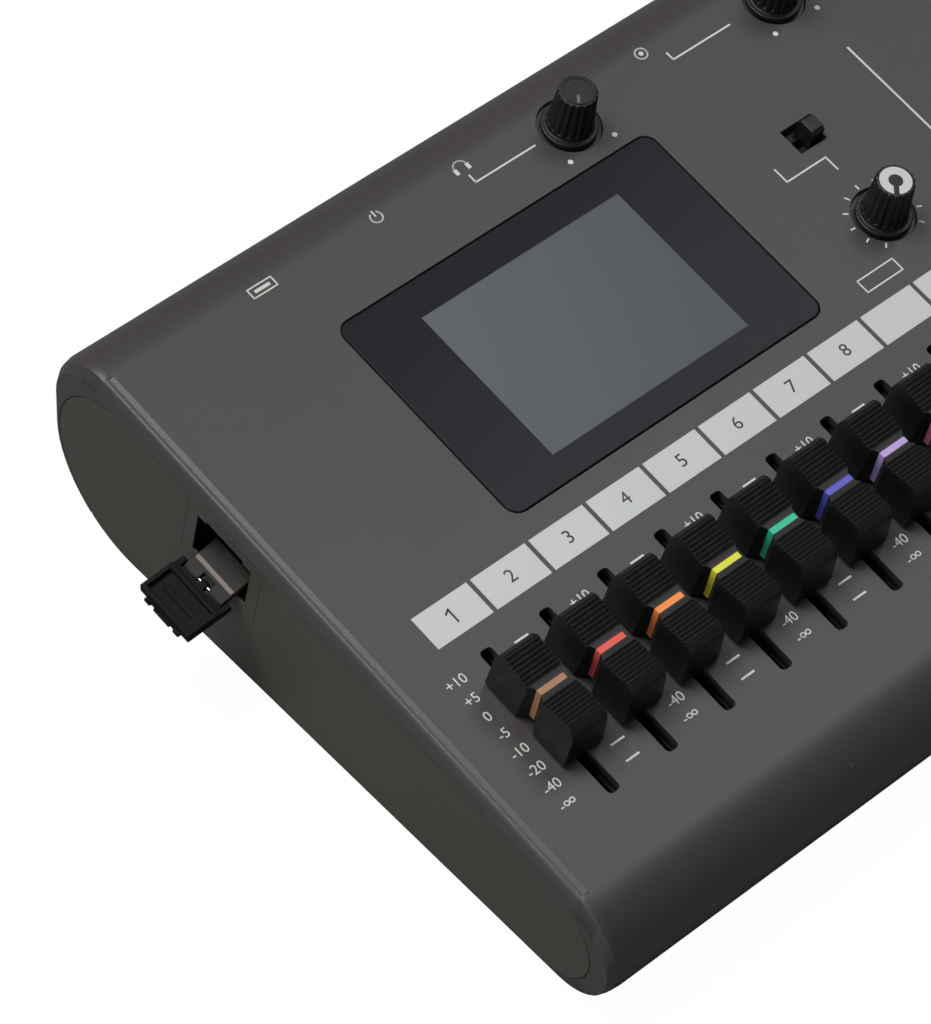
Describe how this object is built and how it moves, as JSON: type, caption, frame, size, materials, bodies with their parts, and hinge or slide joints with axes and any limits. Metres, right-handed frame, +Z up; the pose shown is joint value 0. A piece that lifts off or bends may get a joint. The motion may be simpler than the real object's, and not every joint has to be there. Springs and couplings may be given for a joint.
{
  "type": "digital multitrack recorder",
  "caption": "Wedge-shaped desktop multitrack recorder with channel faders, a touch screen, rotary level controls, transport keys and a side memory-card bay with an open cover.",
  "frame": {"origin": "on the desk under the middle of the whole object, the open card cover included", "axes": "+X to the right along the fader row, +Y to the back, +Z up"},
  "size_m": [0.2663, 0.1544, 0.0553],
  "materials": {
    "case_grey": "satin",
    "base_dark": "matte",
    "glass_black": "gloss",
    "display": "satin",
    "board": "satin",
    "component_metal": "satin",
    "control_black": "satin",
    "cap_black": "satin",
    "lever_steel": "satin",
    "strap_grey": "matte",
    "key_grey": "satin",
    "cell_wrap": "gloss",
    "rubber": "matte"
  },
  "bodies": {
    "case": {"top_cover": "case_grey", "bottom_cover": "base_dark", "left_side_panel": "case_grey", "right_side_panel": "case_grey", "card_housing": "case_grey", "rear_panel": "base_dark", "screen_glass": "glass_black", "rubber_feet": "rubber", "phone_jacks": "control_black", "combo_jacks": "control_black", "usb_socket": "component_metal", "lcd_module": "display", "main_board": "board", "jack_board": "board", "fader_bodies": "component_metal", "pot_bodies": "component_metal", "switch_bodies": "component_metal", "tact_switches": "component_metal", "card_reader": "component_metal", "battery_cells": "cell_wrap", "battery_contacts": "component_metal", "case_screws": "component_metal"},
    "fader_1": {"fader_cap_1": "cap_black", "fader_lever_1": "lever_steel"},
    "fader_2": {"fader_cap_2": "cap_black", "fader_lever_2": "lever_steel"},
    "fader_3": {"fader_cap_3": "cap_black", "fader_lever_3": "lever_steel"},
    "fader_4": {"fader_cap_4": "cap_black", "fader_lever_4": "lever_steel"},
    "fader_5": {"fader_cap_5": "cap_black", "fader_lever_5": "lever_steel"},
    "fader_6": {"fader_cap_6": "cap_black", "fader_lever_6": "lever_steel"},
    "fader_7": {"fader_cap_7": "cap_black", "fader_lever_7": "lever_steel"},
    "fader_8": {"fader_cap_8": "cap_black", "fader_lever_8": "lever_steel"},
    "fader_9": {"fader_cap_9": "cap_black", "fader_lever_9": "lever_steel"},
    "fader_10": {"fader_cap_10": "cap_black", "fader_lever_10": "lever_steel"},
    "phones_knob": {"phones_knob": "control_black"},
    "output_knob": {"output_knob": "control_black"},
    "balance_knob": {"balance_knob": "control_black"},
    "gain_a_knob": {"gain_a_knob": "control_black"},
    "gain_b_knob": {"gain_b_knob": "control_black"},
    "rewind_key": {"rewind_key": "key_grey"},
    "forward_key": {"forward_key": "key_grey"},
    "stop_key": {"stop_key": "key_grey"},
    "play_key": {"play_key": "key_grey"},
    "record_key": {"record_key": "key_grey"},
    "click_switch": {"click_switch": "control_black"},
    "phantom_switch": {"phantom_switch": "control_black"},
    "guitar_switch": {"guitar_switch": "control_black"},
    "power_switch": {"power_switch": "control_black"},
    "card_strap": {"card_strap": "strap_grey", "card_cover_pin": "component_metal"},
    "card_cover": {"card_cover": "control_black"},
    "battery_door": {"battery_door": "base_dark"}
  },
  "joints": [
    {"name": "fader_1_slide", "type": "slide", "parent": "case", "child": "fader_1", "axis": [0, 0.9898, 0.1426], "range_m": [-0.0167, 0.0133]},
    {"name": "fader_2_slide", "type": "slide", "parent": "case", "child": "fader_2", "axis": [0, 0.9898, 0.1426], "range_m": [-0.0167, 0.0133]},
    {"name": "fader_3_slide", "type": "slide", "parent": "case", "child": "fader_3", "axis": [0, 0.9898, 0.1426], "range_m": [-0.0167, 0.0133]},
    {"name": "fader_4_slide", "type": "slide", "parent": "case", "child": "fader_4", "axis": [0, 0.9898, 0.1426], "range_m": [-0.0167, 0.0133]},
    {"name": "fader_5_slide", "type": "slide", "parent": "case", "child": "fader_5", "axis": [0, 0.9898, 0.1426], "range_m": [-0.0167, 0.0133]},
    {"name": "fader_6_slide", "type": "slide", "parent": "case", "child": "fader_6", "axis": [0, 0.9898, 0.1426], "range_m": [-0.0167, 0.0133]},
    {"name": "fader_7_slide", "type": "slide", "parent": "case", "child": "fader_7", "axis": [0, 0.9898, 0.1426], "range_m": [-0.0167, 0.0133]},
    {"name": "fader_8_slide", "type": "slide", "parent": "case", "child": "fader_8", "axis": [0, 0.9898, 0.1426], "range_m": [-0.0167, 0.0133]},
    {"name": "fader_9_slide", "type": "slide", "parent": "case", "child": "fader_9", "axis": [0, 0.9898, 0.1426], "range_m": [-0.0167, 0.0133]},
    {"name": "fader_10_slide", "type": "slide", "parent": "case", "child": "fader_10", "axis": [0, 0.9898, 0.1426], "range_m": [-0.0167, 0.0133]},
    {"name": "phones_knob_turn", "type": "hinge", "parent": "case", "child": "phones_knob", "pos_m": [-0.00939, 0.05703, 0.04917], "axis": [0, 0.1426, -0.9898], "range_deg": [0, 280]},
    {"name": "output_knob_turn", "type": "hinge", "parent": "case", "child": "output_knob", "pos_m": [0.04481, 0.05703, 0.04917], "axis": [0, 0.1426, -0.9898], "range_deg": [0, 280]},
    {"name": "balance_knob_turn", "type": "hinge", "parent": "case", "child": "balance_knob", "pos_m": [0.02671, 0.00675, 0.04192], "axis": [0, 0.1426, -0.9898], "range_deg": [0, 280]},
    {"name": "gain_a_knob_turn", "type": "hinge", "parent": "case", "child": "gain_a_knob", "pos_m": [0.07118, 0.05703, 0.04917], "axis": [0, 0.1426, -0.9898], "range_deg": [0, 280]},
    {"name": "gain_b_knob_turn", "type": "hinge", "parent": "case", "child": "gain_b_knob", "pos_m": [0.10531, 0.05703, 0.04917], "axis": [0, 0.1426, -0.9898], "range_deg": [0, 280]},
    {"name": "rewind_key_press", "type": "slide", "parent": "case", "child": "rewind_key", "axis": [0, 0.1426, -0.9898], "range_m": [0, 0.0008], "stiffness_N_per_m": 1500},
    {"name": "forward_key_press", "type": "slide", "parent": "case", "child": "forward_key", "axis": [0, 0.1426, -0.9898], "range_m": [0, 0.0008], "stiffness_N_per_m": 1500},
    {"name": "stop_key_press", "type": "slide", "parent": "case", "child": "stop_key", "axis": [0, 0.1426, -0.9898], "range_m": [0, 0.0008], "stiffness_N_per_m": 1500},
    {"name": "play_key_press", "type": "slide", "parent": "case", "child": "play_key", "axis": [0, 0.1426, -0.9898], "range_m": [0, 0.0008], "stiffness_N_per_m": 1500},
    {"name": "record_key_press", "type": "slide", "parent": "case", "child": "record_key", "axis": [0, 0.1426, -0.9898], "range_m": [0, 0.0008], "stiffness_N_per_m": 1500},
    {"name": "click_switch_slide", "type": "slide", "parent": "case", "child": "click_switch", "axis": [-1, 0, 0], "range_m": [0, 0.003]},
    {"name": "phantom_switch_slide", "type": "slide", "parent": "case", "child": "phantom_switch", "axis": [1, 0, 0], "range_m": [0, 0.003]},
    {"name": "guitar_switch_slide", "type": "slide", "parent": "case", "child": "guitar_switch", "axis": [1, 0, 0], "range_m": [0, 0.003]},
    {"name": "power_switch_slide", "type": "slide", "parent": "case", "child": "power_switch", "axis": [1, 0, 0], "range_m": [0, 0.003]},
    {"name": "card_strap_slide", "type": "slide", "parent": "case", "child": "card_strap", "axis": [0.9455, -0.0464, 0.3222], "range_m": [0, 0.0042]},
    {"name": "card_cover_hinge", "type": "hinge", "parent": "card_strap", "child": "card_cover", "pos_m": [-0.12296, 0.02916, 0.02242], "axis": [0, 0.9898, 0.1426], "range_deg": [0, 98]},
    {"name": "battery_door_hinge", "type": "hinge", "parent": "case", "child": "battery_door", "pos_m": [-0.06799, -0.004, 0.0022], "axis": [-1, 0, 0], "range_deg": [0, 60]}
  ]
}
